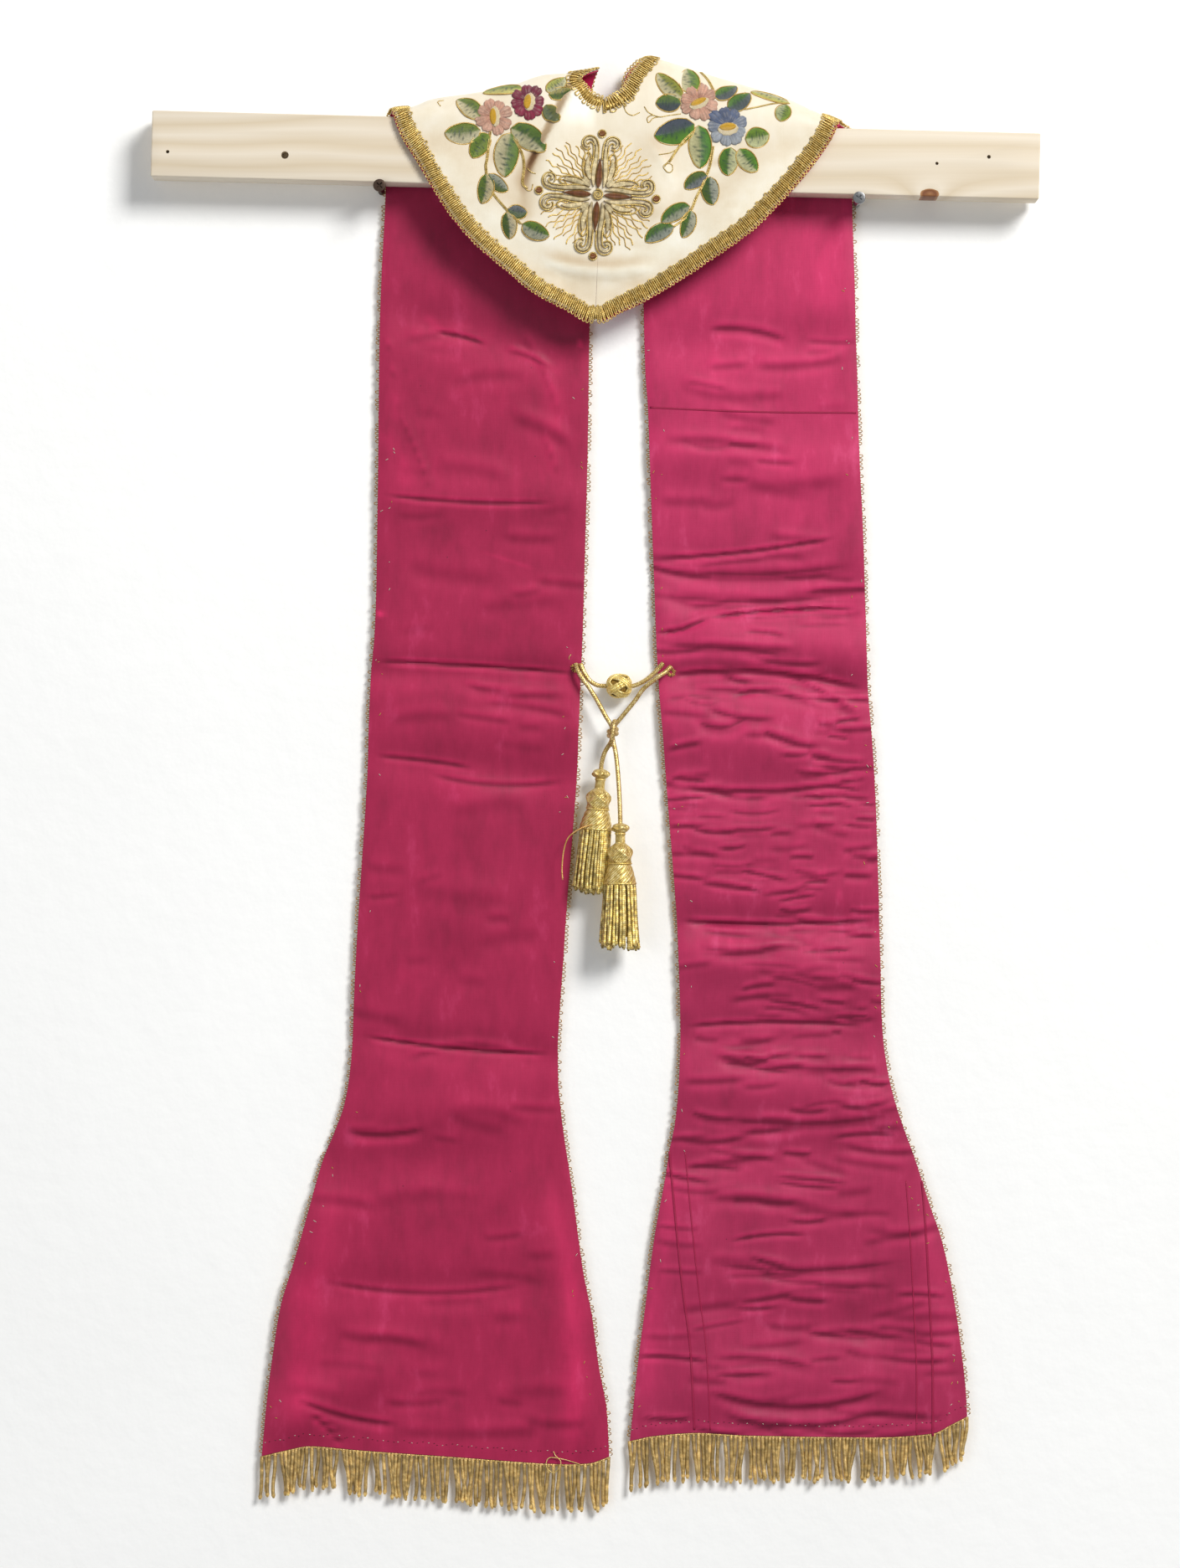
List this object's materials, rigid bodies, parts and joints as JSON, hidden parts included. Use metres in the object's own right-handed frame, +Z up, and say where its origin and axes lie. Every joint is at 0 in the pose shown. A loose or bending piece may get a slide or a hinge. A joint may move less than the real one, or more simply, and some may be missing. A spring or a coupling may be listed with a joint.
{
  "type": "clerical stole hung on a wooden batten with wall screws",
  "caption": "Lined silk stole with flared ends, gold braid, fringe and a tasselled tie cord, folded over a wooden batten on wall screws.",
  "frame": {"origin": "midway between the axes of the two wall screws, in the plane of the wall", "axes": "+Z up, +X to the viewer's right along the wall, -Y out of the wall towards the viewer"},
  "size_m": [0.608, 0.0541, 1.0067],
  "materials": {
    "cream_silk": "pale cream silk with a soft sheen",
    "crimson_silk": "crimson silk lining, soft sheen",
    "gilt_thread": "gilt metal thread, looped and twisted",
    "padded_gilt": "padded silver-gilt embroidery",
    "spruce": "planed spruce, bare",
    "browned_steel": "browned screw head",
    "bright_zinc": "bright zinc plated"
  },
  "bodies": {
    "root": {"left_face": "cream_silk", "right_face": "cream_silk", "left_lining": "crimson_silk", "right_lining_top": "crimson_silk", "right_lining_body": "crimson_silk", "right_gusset_inner": "crimson_silk", "right_gusset_outer": "crimson_silk", "galloon_outer_left": "gilt_thread", "galloon_outer_right": "gilt_thread", "galloon_inner_left": "gilt_thread", "galloon_inner_right": "gilt_thread", "cross": "padded_gilt", "fringe_left": "gilt_thread", "fringe_right": "gilt_thread", "cord_left": "gilt_thread", "cord_right": "gilt_thread", "cord_bridge": "gilt_thread", "slip_knot": "gilt_thread", "tie_button": "gilt_thread", "tassel_left": "gilt_thread", "tassel_right": "gilt_thread", "batten": "spruce", "screw_left": "browned_steel", "screw_right": "bright_zinc"}
  },
  "joints": []
}
